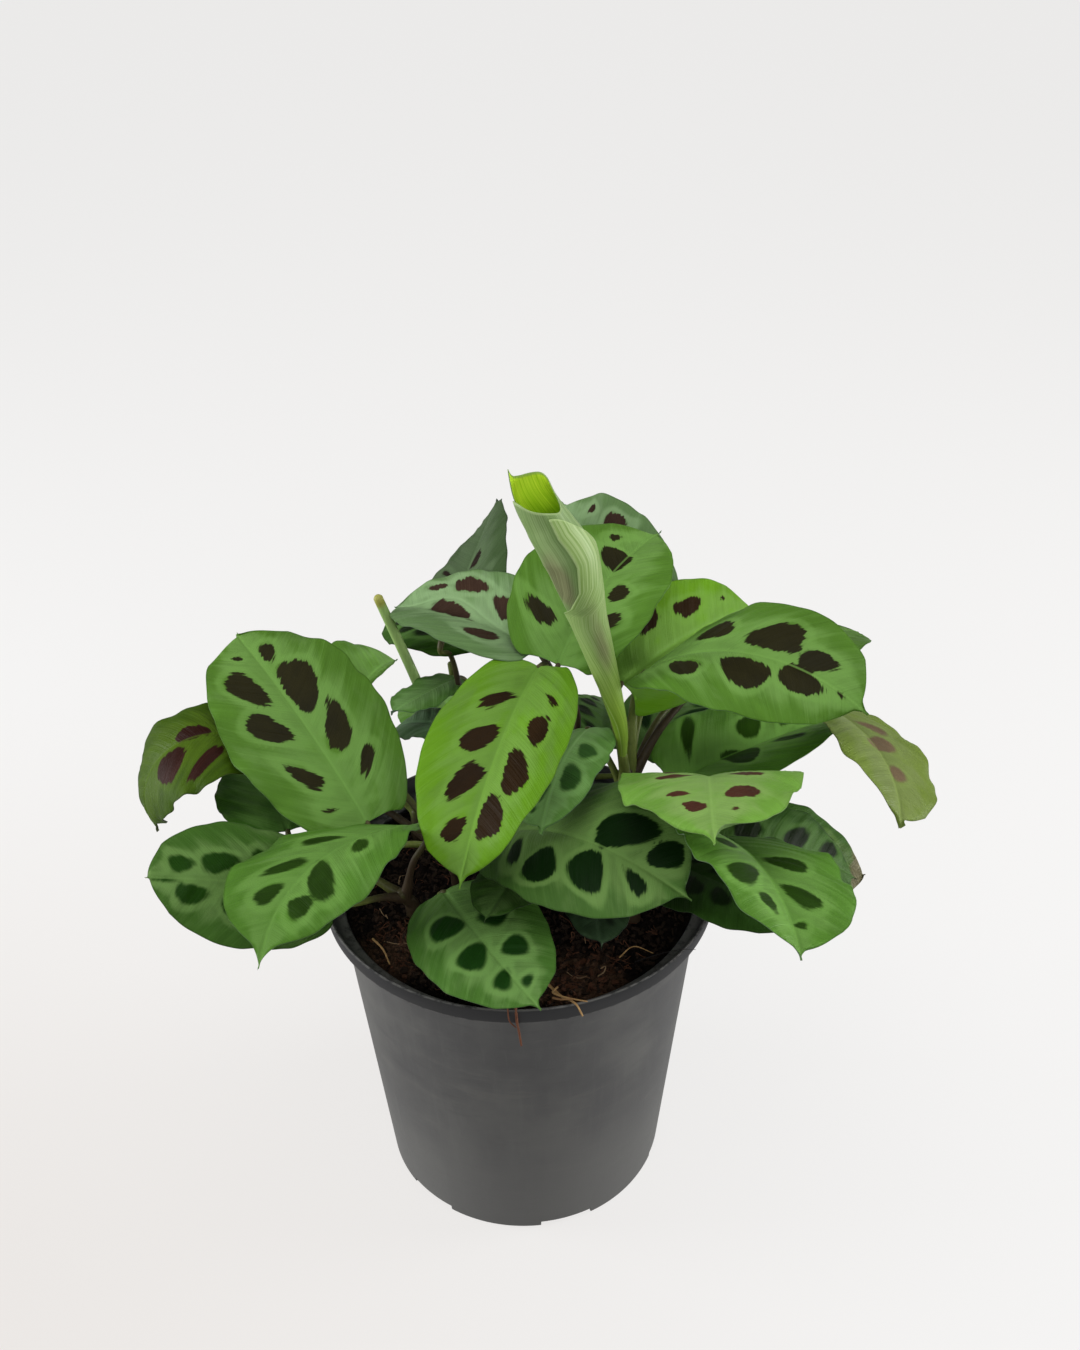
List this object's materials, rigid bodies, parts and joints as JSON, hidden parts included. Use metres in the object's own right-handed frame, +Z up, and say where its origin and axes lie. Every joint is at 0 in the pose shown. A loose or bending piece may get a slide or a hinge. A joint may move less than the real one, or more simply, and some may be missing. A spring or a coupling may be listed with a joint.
{
  "type": "potted plant",
  "caption": "Prayer plant with oval blotched leaves on thin stalks and one rolled new leaf, in a tapered charcoal nursery pot full of soil.",
  "frame": {"origin": "middle of the pot's underside, on the surface that the pot stands on", "axes": "+Z up along the axis of the pot; the side of the plant that the picture shows faces -Y; +X to its right"},
  "size_m": [0.3375, 0.2882, 0.3316],
  "materials": {
    "pot": "charcoal injection moulded plastic, slightly scuffed",
    "soil": "dark peat and coir potting mix",
    "shoot": "green to purple-brown stalks, satin",
    "leaf_fresh": "bright yellow-green leaf with chocolate blotches, satin",
    "leaf_mid": "mid green leaf with brown blotches, satin",
    "leaf_dark": "dark green older leaf with deep green blotches",
    "leaf_grey": "grey-green leaf with brown blotches, matt",
    "rolled_leaf": "pale yellow-green unopened leaf, satin"
  },
  "bodies": {
    "root": {"pot": "pot", "soil": "soil", "shoot_left": "shoot", "leaf_left_large": "leaf_mid", "leaf_left_far": "leaf_mid", "leaf_left_behind": "leaf_grey", "shoot_left_front": "shoot", "leaf_left_front": "leaf_mid", "leaf_left_low": "leaf_dark", "leaf_left_under": "leaf_dark", "shoot_back_left": "shoot", "leaf_top_left_upright": "leaf_grey", "leaf_top_left_under": "leaf_grey", "leaf_small_left": "leaf_dark", "leaf_small_left_under": "leaf_grey", "shoot_centre": "shoot", "leaf_centre": "leaf_fresh", "leaf_top_centre": "leaf_mid", "leaf_top_left": "leaf_grey", "shoot_right": "shoot", "leaf_right_large": "leaf_mid", "leaf_right_behind": "leaf_fresh", "leaf_top_back": "leaf_grey", "leaf_small_centre": "leaf_grey", "leaf_right_far": "leaf_mid", "leaf_right_back": "leaf_dark", "shoot_right_low": "shoot", "leaf_right_mid": "leaf_dark", "leaf_right_low": "leaf_dark", "leaf_right_lowest": "leaf_dark", "shoot_front_right": "shoot", "leaf_front_right_bright": "leaf_fresh", "leaf_front_right_large": "leaf_mid", "leaf_front_right_under": "leaf_dark", "leaf_front_hanging": "leaf_dark", "shoot_front": "shoot", "leaf_front_centre": "leaf_dark", "leaf_front_low": "leaf_mid", "leaf_front_small": "leaf_mid", "shoot_back": "shoot", "leaf_back_centre": "leaf_dark", "leaf_back_upper": "leaf_dark", "leaf_back_right": "leaf_dark", "shoot_back_far_left": "shoot", "leaf_back_left": "leaf_dark", "leaf_back_left_mid": "leaf_dark", "cut_cane": "shoot", "rolled_leaf": "rolled_leaf"}
  },
  "joints": []
}
